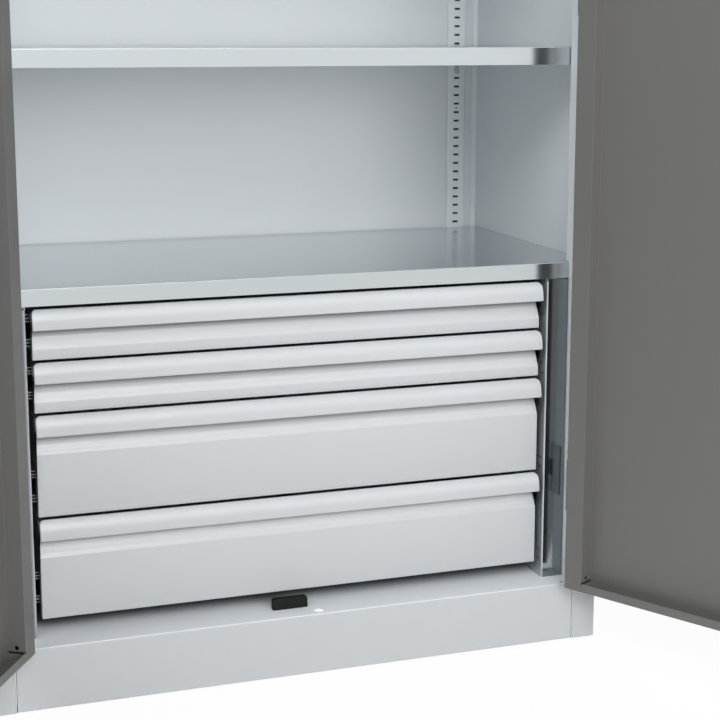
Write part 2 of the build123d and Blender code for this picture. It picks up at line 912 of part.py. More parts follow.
def rack_rod(way, end_z):
    """Rod with its rack: way is +1 for the rod that goes up on the pinion's left, -1 for the other."""
    rack_front = Plane((lock_x, rod_y - rack_depth / 2, lock_z), x_dir=(1, 0, 0), z_dir=(0, -1, 0))
    with BuildPart() as rod:
        with BuildSketch(rack_front):
            with BuildLine():
                corners = [(rack_root, rack_end), (rack_outer, rack_end)]
                corners += [(rack_outer, -link_end), (rack_root, -link_end)]
                Polyline(*[(-way * x, -way * z) for x, z in corners], close=True)
            make_face()
            for step in rack_steps:
                z = (step + 0.5) * tooth_pitch
                foot, tip = rack_root + fit, pitch_radius - tip_height
                corners = [(foot, z - half_foot), (tip, z - half_tip), (tip, z + half_tip)]
                corners.append((foot, z + half_foot))
                with BuildLine():
                    Polyline(*[(-way * x, -way * z) for x, z in corners], close=True)
                make_face()
        extrude(amount=-rack_depth)
        add_block(
            sorted((lock_x - way * rack_outer, rod_x + way * rod_radius)),
            (rod_y - rack_depth / 2, rod_y + rack_depth / 2),
            sorted((lock_z + way * link_start, lock_z + way * link_end)),
        )
        start_z = lock_z + way * (link_start + link_height / 2)
        with Locations((rod_x, rod_y, (start_z + end_z) / 2)):
            Cylinder(rod_radius, abs(end_z - start_z))
    return rod


save_on_door(rack_rod(1, door_high - rod_inset), "rod_top", 1)
save_on_door(rack_rod(-1, door_low + rod_inset), "rod_bottom", 1)

# Plastic guides for the rods at both ends of the door's stile
guide_x = (door_free + door_sheet + fit, door_free + stile - door_sheet - fit)
guide_y = (skin_inner + fit, door_inner - door_sheet - fit)
guide_start = door_sheet + fit
with BuildPart() as rod_guides:
    for z in (door_low + guide_start, door_high - guide_start - guide_height):
        add_block(guide_x, guide_y, (z, z + guide_height))
        with Locations((rod_x, rod_y, z + guide_height / 2)):
            Cylinder(rod_radius + running, 2 * guide_height, mode=Mode.SUBTRACT)
save_on_door(rod_guides, "rod_guides", 1)

# Rose on the door's face, with the spindle's and the key's holes
with BuildPart() as handle_rose:
    with BuildSketch(Plane.XZ.offset(-front)):
        with Locations((lock_x, lock_z + (rose_up - rose_down) / 2)):
            RectangleRounded(rose_width, rose_up + rose_down, rose_corner)
        with Locations((lock_x, lock_z)):
            Circle(spindle_hole_radius, mode=Mode.SUBTRACT)
        with Locations((lock_x, key_z)):
            Circle(key_hole_radius, mode=Mode.SUBTRACT)
    extrude(amount=rose_thick)
    fillet(handle_rose.faces().sort_by(Axis.Y)[0].outer_wire().edges(), rose_round)
save_on_door(handle_rose, "handle_rose", 1)

# Handle: a lever that lies level when unlocked and hangs down when locked
rose_front = front - rose_thick
hub_front = rose_front - handle_gap - hub_height
spindle_end = rose_front - handle_gap - hub_height / 2
lever_tip = lock_x + lever_length - lever_height / 2
with BuildPart() as lever:
    with BuildSketch(Plane.XZ.offset(-hub_front - lever_thick)):
        with Locations((lock_x, lock_z)):
            Circle(lever_root / 2)
        with Locations((lever_tip, lock_z)):
            Circle(lever_height / 2)
        make_hull()
    extrude(amount=lever_thick)
    fillet(lever.edges().group_by(Axis.Y)[0], lever_round)
    fillet(lever.edges().group_by(Axis.Y)[-1], lever_round / 2)

with BuildPart() as door_handle:
    with Locations((lock_x, hub_front + hub_height / 2, lock_z)):
        Cylinder(hub_radius, hub_height, rotation=(90, 0, 0))
    fillet(door_handle.edges().group_by(Axis.Y)[0], lever_round)
    add(lever.part)
    with Locations((lock_x, spindle_end, lock_z)):
        to_back = (Align.CENTER, Align.MIN, Align.CENTER)
        Box(spindle_bore, hub_height, spindle_bore, align=to_back, mode=Mode.SUBTRACT)
save_on_door(door_handle, "door_handle", 1)

with BuildPart() as lock_spindle:
    spindle_y = (spindle_end + fit, case_y[1])
    half = spindle / 2
    add_block((lock_x - half, lock_x + half), spindle_y, (lock_z - half, lock_z + half))
save_on_door(lock_spindle, "lock_spindle", 1)

# Key cylinder's core with its keyhole and its cam
key_front = rose_front - key_proud
with BuildPart() as key_core:
    with BuildSketch(Plane.XZ.offset(-key_front)):
        with Locations((lock_x, key_z)):
            Circle(key_radius)
    extrude(amount=-key_length)
    cam_y = (key_front + key_length - cam_thick, key_front + key_length)
    add_block((lock_x - cam_width / 2, lock_x + cam_width / 2), cam_y, (key_z, key_z + cam_length))
    slot_x = (lock_x - keyhole_width / 2, lock_x + keyhole_width / 2)
    slot_z = (key_z - key_radius / 2, key_z + key_radius / 2)
    add_block(slot_x, (key_front, key_front + key_length / 2), slot_z, mode=Mode.SUBTRACT)
save_on_door(key_core, "key_core", 1)
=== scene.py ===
import json
import math

import bpy
import numpy as np
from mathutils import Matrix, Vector


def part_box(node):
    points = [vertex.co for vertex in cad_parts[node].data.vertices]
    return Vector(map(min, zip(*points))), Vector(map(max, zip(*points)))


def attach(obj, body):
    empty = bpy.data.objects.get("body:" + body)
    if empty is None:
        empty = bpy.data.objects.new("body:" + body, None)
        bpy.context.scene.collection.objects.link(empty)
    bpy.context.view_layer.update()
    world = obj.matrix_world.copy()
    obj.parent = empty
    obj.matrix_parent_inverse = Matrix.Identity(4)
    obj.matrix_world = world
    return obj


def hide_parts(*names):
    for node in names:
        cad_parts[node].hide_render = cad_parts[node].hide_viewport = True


# Wing-door drawer cabinet. The steel carcase, shelves, runners and lock come from the frame, and this
# script adds the folded drawer fronts, the door stops, the floor plugs, the lever and every finish.

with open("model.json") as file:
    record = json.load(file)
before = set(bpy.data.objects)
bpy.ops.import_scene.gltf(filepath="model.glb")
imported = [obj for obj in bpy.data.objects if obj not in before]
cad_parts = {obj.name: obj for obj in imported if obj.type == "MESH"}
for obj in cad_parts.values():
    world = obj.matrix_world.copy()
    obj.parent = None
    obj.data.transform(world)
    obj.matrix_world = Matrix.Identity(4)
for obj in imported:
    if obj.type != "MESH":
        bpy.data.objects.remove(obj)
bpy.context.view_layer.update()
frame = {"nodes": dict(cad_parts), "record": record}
nodes = frame["nodes"]
print("frame loaded with", len(nodes), "nodes")


# Node helpers

def feed(tree, socket, value):
    # another node's output is linked to the socket, and any other value is set on it
    if isinstance(value, bpy.types.NodeSocket):
        tree.links.new(value, socket)
    else:
        socket.default_value = value


def addNode(tree, kind, values=None, **settings):
    node = tree.nodes.new(kind)
    for key, value in settings.items():
        setattr(node, key, value)
    for key, value in (values or {}).items():
        feed(tree, node.inputs[key], value)
    return node


def newGroup(name, inputs, outputs):
    # inputs give each socket's kind and default value, outputs only the kind
    tree = bpy.data.node_groups.new(name, "ShaderNodeTree")
    for label, (kind, value) in inputs.items():
        socket = tree.interface.new_socket(name=label, in_out="INPUT", socket_type="NodeSocket" + kind)
        socket.default_value = value
    for label, kind in outputs.items():
        tree.interface.new_socket(name=label, in_out="OUTPUT", socket_type="NodeSocket" + kind)
    return tree, tree.nodes.new("NodeGroupInput").outputs, tree.nodes.new("NodeGroupOutput").inputs


def useGroup(tree, group, values):
    return addNode(tree, "ShaderNodeGroup", values, node_tree=group).outputs


def coordinates(tree, kind):
    # a point's place ("Object") or its face's direction ("Normal") along the piece's own axes
    return addNode(tree, "ShaderNodeTexCoord").outputs[kind]


def splitVector(tree, vector):
    return addNode(tree, "ShaderNodeSeparateXYZ", {0: vector}).outputs


def mathNode(tree, operation, first, second=0.0):
    return addNode(tree, "ShaderNodeMath", {0: first, 1: second}, operation=operation).outputs[0]


def vectorNode(tree, operation, values):
    return addNode(tree, "ShaderNodeVectorMath", values, operation=operation).outputs


def mapRange(tree, source, fromLow, fromHigh, toLow=0.0, toHigh=1.0, curve="LINEAR"):
    values = {"Value": source, "From Min": fromLow, "From Max": fromHigh, "To Min": toLow, "To Max": toHigh}
    return addNode(tree, "ShaderNodeMapRange", values, interpolation_type=curve).outputs["Result"]


def noiseNode(tree, vector, scale, detail, roughness):
    values = {"Vector": vector, "Scale": scale, "Detail": detail, "Roughness": roughness}
    return addNode(tree, "ShaderNodeTexNoise", values).outputs["Fac"]


def nearTo(tree, value, centre, reach):
    # 1 where the value is less than the reach away from the centre, else 0
    apart = mathNode(tree, "ABSOLUTE", mathNode(tree, "SUBTRACT", value, centre))
    return mathNode(tree, "LESS_THAN", apart, reach)


def mixColour(tree, factor, under, over, blend="MIX"):
    # the mix node's seventh and eighth inputs and its third output are its colours
    values = {"Factor": factor, 6: under, 7: over}
    return addNode(tree, "ShaderNodeMix", values, data_type="RGBA", blend_type=blend).outputs[2]


# Shared effects

# a noise is given by its scale, detail and roughness
sheetLook = dict(slowNoise=(2.3, 3.0, 0.55), fineNoise=(38.0, 4.0, 0.6), dustHeight=0.11,
                 dustPatch=(0.35, 0.7), dustColour=(0.40, 0.39, 0.36, 1), dustRoughness=0.4)


def makeSheetShade(spec):
    # a coat's colour is its own times 1 + Drift x (slow noise - 0.5), and times 1 + Inside Lift within the
    # inside's half width and half depth, which is painted light. Near the floor, patches of dust cover it.
    # The roughness swings with the fine noise and grows with the dust
    tree, given, result = newGroup("sheetShade", {
        "Colour": ("Color", (0.5, 0.5, 0.5, 1)), "Drift": ("Float", 0.03), "Dust": ("Float", 0.1),
        "Inside Lift": ("Float", 0.0), "Inside Half Width": ("Float", 0.46),
        "Inside Half Depth": ("Float", 0.24), "Roughness": ("Float", 0.4),
        "Roughness Drift": ("Float", 0.05)}, {"Colour": "Color", "Inside": "Float", "Roughness": "Float"})
    spot = coordinates(tree, "Object")
    slow = noiseNode(tree, spot, *spec["slowNoise"])
    fine = noiseNode(tree, spot, *spec["fineNoise"])
    centred = mathNode(tree, "SUBTRACT", slow, 0.5)
    tone = mathNode(tree, "ADD", mathNode(tree, "MULTIPLY", centred, given["Drift"]), 1.0)
    place = splitVector(tree, spot)
    inside = mathNode(tree, "MULTIPLY", nearTo(tree, place["X"], 0.0, given["Inside Half Width"]),
                      nearTo(tree, place["Y"], 0.0, given["Inside Half Depth"]))
    # painted light: the coat is lighter by the lift inside the half width and half depth
    paintedLift = mathNode(tree, "ADD", mathNode(tree, "MULTIPLY", inside, given["Inside Lift"]), 1.0)
    scale = {0: given["Colour"], "Scale": mathNode(tree, "MULTIPLY", tone, paintedLift)}
    bright = vectorNode(tree, "SCALE", scale)["Vector"]
    low = mapRange(tree, place["Z"], 0.0, spec["dustHeight"], 1.0, 0.0)
    patch = mapRange(tree, fine, *spec["dustPatch"])
    dust = mathNode(tree, "MULTIPLY", mathNode(tree, "MULTIPLY", low, patch), given["Dust"])
    swing = mathNode(tree, "MULTIPLY", mathNode(tree, "SUBTRACT", fine, 0.5), given["Roughness Drift"])
    rougher = mathNode(tree, "ADD", swing, mathNode(tree, "MULTIPLY", dust, spec["dustRoughness"]))
    feed(tree, result["Colour"], mixColour(tree, dust, bright, spec["dustColour"]))
    feed(tree, result["Inside"], inside)
    feed(tree, result["Roughness"], mathNode(tree, "ADD", given["Roughness"], rougher))
    return tree


def makeFineGrain(detail=2.0, roughness=0.5):
    # height of a powder coat's orange peel, or of rolling lines when stretched along one axis
    tree, given, result = newGroup("fineGrain", {
        "Scale": ("Float", 600.0), "Stretch": ("Vector", (1, 1, 1))}, {"Height": "Float"})
    stretched = vectorNode(tree, "MULTIPLY", {0: coordinates(tree, "Object"), 1: given["Stretch"]})["Vector"]
    feed(tree, result["Height"], noiseNode(tree, stretched, given["Scale"], detail, roughness))
    return tree


foldLook = dict(samples=4, edgeCosines=(0.985, 0.8), roundCosines=(0.997, 0.95))


def makeFoldEdge(spec):
    # Normal is rounded along folds. Edge goes from 0 to 1 as Normal leans away from the face's own direction,
    # and Round as that direction leans away from all three axes, both by the lean's cosine
    tree, given, result = newGroup("foldEdge", {"Radius": ("Float", 0.0008)},
                                   {"Normal": "Vector", "Edge": "Float", "Round": "Float"})
    bevel = addNode(tree, "ShaderNodeBevel", {"Radius": given["Radius"]}, samples=spec["samples"])
    rounded = bevel.outputs["Normal"]
    own = addNode(tree, "ShaderNodeNewGeometry").outputs["Normal"]
    lean = vectorNode(tree, "DOT_PRODUCT", {0: rounded, 1: own})["Value"]
    along = splitVector(tree, vectorNode(tree, "ABSOLUTE", {0: coordinates(tree, "Normal")})["Vector"])
    largest = mathNode(tree, "MAXIMUM", along["X"], mathNode(tree, "MAXIMUM", along["Y"], along["Z"]))
    feed(tree, result["Normal"], rounded)
    feed(tree, result["Edge"], mapRange(tree, lean, *spec["edgeCosines"]))
    feed(tree, result["Round"], mapRange(tree, largest, *spec["roundCosines"]))
    return tree


# a mask for painted shade in stripes
def makeShadeStripe(facing=-0.5):
    # 1 inside two upright stripes, one each side of the middle, on faces whose direction along the depth is
    # below the facing value, so that they look to the front; else 0
    tree, given, result = newGroup("shadeStripe", {"Centre": ("Float", 0.4), "Half Width": ("Float", 0.01)},
                                   {"Mask": "Float"})
    side = mathNode(tree, "ABSOLUTE", splitVector(tree, coordinates(tree, "Object"))["X"])
    front = mathNode(tree, "LESS_THAN", splitVector(tree, coordinates(tree, "Normal"))["Y"], facing)
    stripe = nearTo(tree, side, given["Centre"], given["Half Width"])
    feed(tree, result["Mask"], mathNode(tree, "MULTIPLY", stripe, front))
    return tree


def makeFarBackShade():
    # 0 in front of the start, 1 behind the end, and a smooth step between them along the depth; it marks a
    # painted shadow
    tree, given, result = newGroup("farBackShade", {"Start": ("Float", -0.18), "End": ("Float", -0.14)},
                                   {"Mask": "Float"})
    depth = splitVector(tree, coordinates(tree, "Object"))["Y"]
    mask = mapRange(tree, depth, given["Start"], given["End"], curve="SMOOTHSTEP")
    feed(tree, result["Mask"], mask)
    return tree


def makeDoorSlitShade():
    # 1 on a short slit where an open door's stile meets its rims, which is painted near-black as the shade in
    # that corner: the place is mirrored to the right, turned back to the closed door about the pin, and kept
    # where it is near the stile's edge and near a rim
    tree, given, result = newGroup("doorSlitShade", {
        "Pin": ("Vector", (0.4, -0.25, 0)), "Angle": ("Float", -2.0), "Edge": ("Float", 0.39),
        "Middle": ("Float", 1.0), "Reach": ("Float", 0.9), "Half Depth": ("Float", 0.0015),
        "Half Height": ("Float", 0.0015)}, {"Mask": "Float"})
    place = splitVector(tree, coordinates(tree, "Object"))
    mirrored = addNode(tree, "ShaderNodeCombineXYZ", {"X": mathNode(tree, "ABSOLUTE", place["X"]),
                                                      "Y": place["Y"]})
    turned = addNode(tree, "ShaderNodeVectorRotate", {"Vector": mirrored.outputs[0], "Center": given["Pin"],
                                                      "Angle": given["Angle"]}, rotation_type="Z_AXIS")
    across = splitVector(tree, turned.outputs[0])["X"]
    height = mathNode(tree, "ABSOLUTE", mathNode(tree, "SUBTRACT", place["Z"], given["Middle"]))
    beside = nearTo(tree, across, given["Edge"], given["Half Depth"])
    atRim = nearTo(tree, height, given["Reach"], given["Half Height"])
    feed(tree, result["Mask"], mathNode(tree, "MULTIPLY", beside, atRim))
    return tree


sheetShade = makeSheetShade(sheetLook)
fineGrain = makeFineGrain()
foldEdge = makeFoldEdge(foldLook)
shadeStripe = makeShadeStripe()
farBackShade = makeFarBackShade()
doorSlitShade = makeDoorSlitShade()


# Finishes

# a finish's layers lie over its coat in turn, each given by a mask group, the group's values and the layer's
# colour; the layers in use are painted shade. The lift is painted light: it makes the coat lighter within the
# half width and half depth that go with it
plainCoat = dict(stretch=(1, 1, 1), specular=0.5, bump=0.35, paintedLift=0.0, halfWidth=0.46, halfDepth=0.24,
                 layers=())
powderCoat = dict(plainCoat, metallic=0.0, swing=0.05, grain=520.0, depth=0.00003, fold=0.0009)
zincCoat = dict(plainCoat, metallic=1.0, dust=0.03, grain=90.0, depth=0.00001, fold=0.0005, edgeHighlight=0.03)
finishes = {
    "greyPowder": dict(powderCoat, colour=(0.485, 0.507, 0.523, 1), drift=0.03, dust=0.12, roughness=0.34,
                       edgeHighlight=0.05),
    "darkPowder": dict(powderCoat, colour=(0.125, 0.124, 0.120, 1), drift=0.05, dust=0.1, roughness=0.46,
                       edgeHighlight=0.08),
    # bright on flat faces, rougher on the round of its folds; its lift paints the shelves and cover lighter
    # behind their front flanges, a painted light
    "brightZinc": dict(zincCoat, colour=(0.572, 0.611, 0.626, 1), drift=0.03, roughness=0.17, swing=0.02,
                       roundRough=0.5, paintedLift=0.1, halfWidth=0.6, halfDepth=0.205),
    # painted darker than the shelves' zinc, a painted shade standing for the dark reflections on the
    # uprights, and painted lighter and less metallic on the webs beside the drawers, a painted light
    "paintedShadeZinc": dict(zincCoat, colour=(0.27, 0.294, 0.308, 1), drift=0.04, roughness=0.1, swing=0.03,
                     paintedLift=0.7, halfWidth=0.3922, halfDepth=0.6, insideMetallic=0.5),
    "plainSteel": dict(plainCoat, colour=(0.56, 0.575, 0.585, 1), drift=0.05, dust=0.05, roughness=0.3,
                       swing=0.08, metallic=1.0, grain=300.0, stretch=(1, 0.05, 1), depth=0.00002,
                       fold=0.0004, edgeHighlight=0.1),
    "satinNickel": dict(plainCoat, colour=(0.60, 0.59, 0.57, 1), drift=0.03, dust=0.0, roughness=0.28,
                        swing=0.05, metallic=1.0, grain=900.0, depth=0.00001, fold=0.0004, edgeHighlight=0.1),
    "blackPlastic": dict(plainCoat, colour=(0.0075, 0.0075, 0.0075, 1), drift=0.2, dust=0.0, roughness=0.55,
                         swing=0.1, metallic=0.0, grain=1400.0, depth=0.00004, fold=0.0005, edgeHighlight=0.02,
                         specular=0.2),
}
# the fronts' tone over their height, a painted shade and highlight, is an attribute of their surfaces
finishes["frontPowder"] = dict(finishes["greyPowder"], colour=(0.468, 0.489, 0.505, 1), roughness=0.31,
                               paintedShadingFrom="tone")
# the carcase is painted lighter on its inner faces, a painted light; the side and floor panels are painted
# lighter still there
finishes["carcasePowder"] = dict(finishes["greyPowder"], colour=(0.455, 0.476, 0.491, 1), paintedLift=0.55,
                                 halfWidth=0.4643, halfDepth=0.2493)
finishes["sidePowder"] = dict(finishes["carcasePowder"], colour=(0.43, 0.45, 0.464, 1), paintedLift=0.84)
# painted shade: near-black on the back panel behind its slotted rails, and a dark line on the plinth's front
# at its seam with the posts
finishes["backPowder"] = dict(finishes["carcasePowder"], layers=[
    (shadeStripe, {"Centre": 0.4238, "Half Width": 0.0162}, (0.012, 0.013, 0.014, 1))])
finishes["floorPowder"] = dict(finishes["carcasePowder"], colour=(0.44, 0.46, 0.475, 1), paintedLift=0.72, layers=[
    # painted shade in the seam between the plinth and the post
    (shadeStripe, {"Centre": 0.4256, "Half Width": 0.0008}, (0.12, 0.125, 0.13, 1)),
    # painted shadow on the floor under the bottom drawer, darker towards the back
    (farBackShade, {"Start": -0.180, "End": -0.138}, (0.10, 0.107, 0.114, 1))])
door = dict(pin=(0.4251, -0.255), open=math.radians(120))
# painted shade: a near-black slit on the door's inner corner where the stile meets the rims
finishes["doorPowder"] = dict(finishes["darkPowder"], layers=[
    (doorSlitShade, {"Pin": (*door["pin"], 0), "Angle": -door["open"], "Edge": 0.3918, "Middle": 0.9995,
                "Reach": 0.8901, "Half Depth": 0.0013, "Half Height": 0.0016}, (0.008, 0.008, 0.008, 1))])

shadeSockets = {"Colour": "colour", "Drift": "drift", "Dust": "dust", "Roughness": "roughness",
                "Roughness Drift": "swing", "Inside Lift": "paintedLift", "Inside Half Width": "halfWidth",
                "Inside Half Depth": "halfDepth"}


def newMaterial(name):
    material = bpy.data.materials.new(name)
    material.use_nodes = True
    tree = material.node_tree
    return material, tree, next(node for node in tree.nodes if node.type == "BSDF_PRINCIPLED")


def makeFinish(name, spec):
    material, tree, bsdf = newMaterial(name)
    shade = useGroup(tree, sheetShade, {label: spec[key] for label, key in shadeSockets.items()})
    grain = useGroup(tree, fineGrain, {"Scale": spec["grain"], "Stretch": spec["stretch"]})
    fold = useGroup(tree, foldEdge, {"Radius": spec["fold"]})
    # fold edges lightened with white: a painted highlight
    highlighted = mathNode(tree, "MULTIPLY", fold["Edge"], spec["edgeHighlight"])
    colour = mixColour(tree, highlighted, shade["Colour"], (1, 1, 1, 1), "SCREEN")
    # the fronts' colour is scaled by their painted shade and highlight
    if "paintedShadingFrom" in spec:
        tone = addNode(tree, "ShaderNodeAttribute", attribute_name=spec["paintedShadingFrom"]).outputs["Fac"]
        colour = vectorNode(tree, "SCALE", {0: colour, "Scale": tone})["Vector"]
    for group, values, over in spec["layers"]:
        colour = mixColour(tree, useGroup(tree, group, values)["Mask"], colour, over)
    roughness = shade["Roughness"]
    if "roundRough" in spec:
        rougher = mathNode(tree, "MULTIPLY", fold["Round"], spec["roundRough"])
        roughness = mathNode(tree, "ADD", roughness, rougher)
    metallic = spec["metallic"]
    if "insideMetallic" in spec:
        metallic = mapRange(tree, shade["Inside"], 0.0, 1.0, metallic, spec["insideMetallic"])
    bump = addNode(tree, "ShaderNodeBump", {"Strength": spec["bump"], "Distance": spec["depth"],
                                            "Height": grain["Height"], "Normal": fold["Normal"]})
    for label, value in (("Base Color", colour), ("Roughness", roughness), ("Metallic", metallic),
                         ("Specular IOR Level", spec["specular"]), ("Normal", bump.outputs["Normal"])):
        feed(tree, bsdf.inputs[label], value)
    return material


materials = {name: makeFinish(name, spec) for name, spec in finishes.items()}
finishOfNode = {"back_panel": "backPowder", "floor_panel": "floorPowder", "side_panel_left": "sidePowder",
                "side_panel_right": "sidePowder", "top_panel": "carcasePowder",
                "shelf_rails_rear": "sidePowder", "shelf_rails_front": "sidePowder",
                "door_left": "doorPowder", "door_right": "doorPowder", "block_side_left": "paintedShadeZinc",
                "block_side_right": "paintedShadeZinc"}
finishOfSlot = {"grey_paint": "greyPowder", "dark_paint": "darkPowder", "galvanised": "brightZinc",
                "bare_steel": "plainSteel", "nickel": "satinNickel", "black_plastic": "blackPlastic"}
for part in frame["record"]["subparts"]:
    piece = nodes[part["node"]]
    finish = finishOfNode.get(part["node"], finishOfSlot[part["material_slot"]])
    piece.data.materials.clear()
    piece.data.materials.append(materials[finish])
print("finishes given to the frame's nodes")


# Surfaces

straightTurn = 1e-4  # a corner that turns by less than this angle keeps this much turn


def roundedLoop(points, radii, steps):
    # closed outline whose corners are arcs that touch both sides: an arc's centre is radius / sin(half angle)
    # from its corner along the bisector, and its points are start sin((1 - t) turn) + end sin(t turn), over
    # sin(turn), seen from that centre. A straight corner has no bisector, and takes the way across its sides
    points = np.asarray(points, float)
    before = np.roll(points, 1, axis=0) - points
    after = np.roll(points, -1, axis=0) - points
    before /= np.linalg.norm(before, axis=1, keepdims=True)
    after /= np.linalg.norm(after, axis=1, keepdims=True)
    half = np.minimum(np.arccos(np.clip((before * after).sum(1), -1, 1)) / 2, np.pi / 2 - straightTurn / 2)
    radii = np.asarray(radii, float)
    reach = radii / np.tan(half)
    across = before - after
    across = np.column_stack([-across[:, 1], across[:, 0]])
    bend = before + after
    length = np.linalg.norm(bend, axis=1, keepdims=True)
    middle = np.where(length > straightTurn, bend, across)
    middle /= np.linalg.norm(middle, axis=1, keepdims=True)
    centre = points + middle * (radii / np.sin(half))[:, None]
    start = points + before * reach[:, None] - centre
    end = points + after * reach[:, None] - centre
    share = np.linspace(0, 1, steps)[None, :, None]
    turn = np.maximum(np.pi - 2 * half, straightTurn)[:, None, None]
    weightStart = np.sin((1 - share) * turn) / np.sin(turn)
    weightEnd = np.sin(share * turn) / np.sin(turn)
    arcs = centre[:, None] + start[:, None] * weightStart + end[:, None] * weightEnd
    return arcs.reshape(-1, 2)


def insetLoops(loop, insets, shortest=1e-12, leastCosine=0.35):
    # one loop for each inset: a point moves inwards along the mean normal of its two sides by the inset over
    # the cosine between that normal and a side's, so that each side moves by the inset
    ahead = np.roll(loop, -1, axis=0) - loop
    ahead /= np.maximum(np.linalg.norm(ahead, axis=1, keepdims=True), shortest)
    back = np.roll(ahead, 1, axis=0)
    area = 0.5 * np.sum(loop[:, 0] * np.roll(loop[:, 1], -1) - np.roll(loop[:, 0], -1) * loop[:, 1])
    way = 1.0 if area > 0 else -1.0
    normal = way * np.stack([-(ahead + back)[:, 1], (ahead + back)[:, 0]], 1)
    normal /= np.maximum(np.linalg.norm(normal, axis=1, keepdims=True), shortest)
    side = way * np.stack([-ahead[:, 1], ahead[:, 0]], 1)
    cosine = np.clip((normal * side).sum(1), leastCosine, 1.0)
    return loop + normal * (insets[:, None] / cosine)[..., None]


def endStations(low, high, roundness, steps, more=()):
    # places along an axis, and their insets: roundness x (1 - cos t) from each end, inset by roundness x
    # (1 - sin t), with t from 0 to a quarter turn, and more places with no inset between
    angle = np.linspace(0, np.pi / 2, steps)
    more = np.asarray(more, float)
    place = np.concatenate([low + roundness * (1 - np.cos(angle)), low + more, (high - more)[::-1],
                            high - roundness * (1 - np.cos(angle[::-1]))])
    inset = np.concatenate([roundness * (1 - np.sin(angle)), np.zeros(2 * len(more)),
                            roundness * (1 - np.sin(angle[::-1]))])
    return place, inset


def carryAlong(loops, place, axis):
    # rings in space: each loop's two coordinates, with its place put in as the coordinate along the axis
    columns = [loops[..., 0], loops[..., 1]]
    columns.insert(axis, np.broadcast_to(place[:, None], loops.shape[:2]))
    return np.stack(columns, -1)


def spinAlong(radius, place, centre, axis, turns):
    # rings about an axis: centre + radius x (cos t, sin t), with the radius given at each place
    turn = np.linspace(0, 2 * np.pi, turns, endpoint=False)
    circle = np.stack([np.cos(turn), np.sin(turn)], -1)
    return carryAlong(np.array(centre) + radius[:, None, None] * circle, place, axis)


def ringMesh(name, rings, material, smoothBelow=35):
    # rings is (number of rings, points in a ring, 3): quads join the rings, and a face closes each end. The
    # sum of the faces' signed volumes is negative where they look inwards, and then all are turned
    count, size = rings.shape[:2]
    index = np.arange(count * size).reshape(count, size)
    across = np.roll(index, -1, axis=1)
    quads = np.stack([index[:-1], across[:-1], across[1:], index[1:]], -1).reshape(-1, 4)
    corners = rings.reshape(-1, 3)
    first, second, third, fourth = (corners[quads[:, k]] for k in range(4))
    signed = np.einsum("ij,ij->i", first, np.cross(second, third) + np.cross(third, fourth)).sum()
    for ring, flip in ((index[0], -1), (index[-1], 1)):
        fan = corners[ring]
        signed += flip * np.einsum("ij,ij->i", np.broadcast_to(fan[0], fan[1:-1].shape),
                                   np.cross(fan[1:-1], fan[2:])).sum()
    if signed < 0:
        quads = quads[:, ::-1]
        caps = [index[0], index[-1][::-1]]
    else:
        caps = [index[0][::-1], index[-1]]
    mesh = bpy.data.meshes.new(name)
    mesh.vertices.add(len(corners))
    mesh.vertices.foreach_set("co", corners.astype(np.float32).ravel())
    loops = np.concatenate([quads.ravel(), caps[0], caps[1]]).astype(np.int32)
    starts = np.concatenate([np.arange(len(quads)) * 4, [len(quads) * 4, len(quads) * 4 + size]])
    mesh.loops.add(len(loops))
    mesh.loops.foreach_set("vertex_index", loops)
    mesh.polygons.add(len(quads) + 2)
    mesh.polygons.foreach_set("loop_start", starts.astype(np.int32))
    mesh.update(calc_edges=True)
    mesh.validate()
    mesh.polygons.foreach_set("use_smooth", np.ones(len(mesh.polygons), bool))
    mesh.set_sharp_from_angle(angle=math.radians(smoothBelow))
    mesh.materials.append(material)
    piece = bpy.data.objects.new(name, mesh)
    bpy.context.scene.collection.objects.link(piece)
    return piece


# Drawer fronts: one folded profile carried along the width

# lengths in metres, tilts in degrees; tone is the coat's factor at each distance below the front's top, a
# painted shading
drawerFront = dict(
    halfWidth=0.3815, back=-0.186, face=-0.204, recess=-0.1885, lipFoot=-0.219, lipTop=-0.207,
    lipHeight=0.028, lipSteps=15, footTilt=6, topTilt=56, straight=0.35,
    slopeHeight=0.0285, slopeShares=(0.2, 0.36, 0.47, 0.58, 0.69, 0.79, 0.87, 0.93),
    grooveWidth=0.003, grooveDepth=0.007,
    lipBackRound=0.0008, innerRound=0.0004, faceRound=0.0012, slopeRound=0.0004, slopeTopRound=0.0008,
    lipFootRound=0.0010, lipRound=0.0008, roundSteps=5,
    endRound=0.0012, endSteps=5, topCorner=0.007, cornerSteps=9, firstCornerShare=0.18,
    # painted highlight on the lip's upper part and on the slope, painted shadow just under the lip, a
    # slightly darker face
    paintedShadingBelow=(0, 0.008, 0.017, 0.0272, 0.0282, 0.031, 0.034, 0.037, 0.040, 0.043, 0.046, 0.0505, 0.0562,
               0.0572),
    tone=(1.04, 1.10, 0.97, 0.94, 0.22, 0.34, 0.62, 1.0, 1.26, 1.30, 1.24, 1.16, 1.08, 0.91))


def lipArc(spec, low, high):
    # the lip's tilt stays small over its lower part, then grows evenly: summing its sine and cosine gives
    # depth and height, which are scaled to end at the lip's top
    share = np.linspace(0, 1, spec["lipSteps"])
    grown = np.clip((share - spec["straight"]) / (1 - spec["straight"]), 0, 1)
    tilt = np.radians(spec["footTilt"] + (spec["topTilt"] - spec["footTilt"]) * grown)
    middle = (tilt[1:] + tilt[:-1]) / 2
    depth = np.concatenate([[0], np.cumsum(np.sin(middle))])
    rise = np.concatenate([[0], np.cumsum(np.cos(middle))])
    return np.column_stack([spec["lipFoot"] + (spec["lipTop"] - spec["lipFoot"]) * depth / depth[-1],
                            low + (high - low) * rise / rise[-1]])


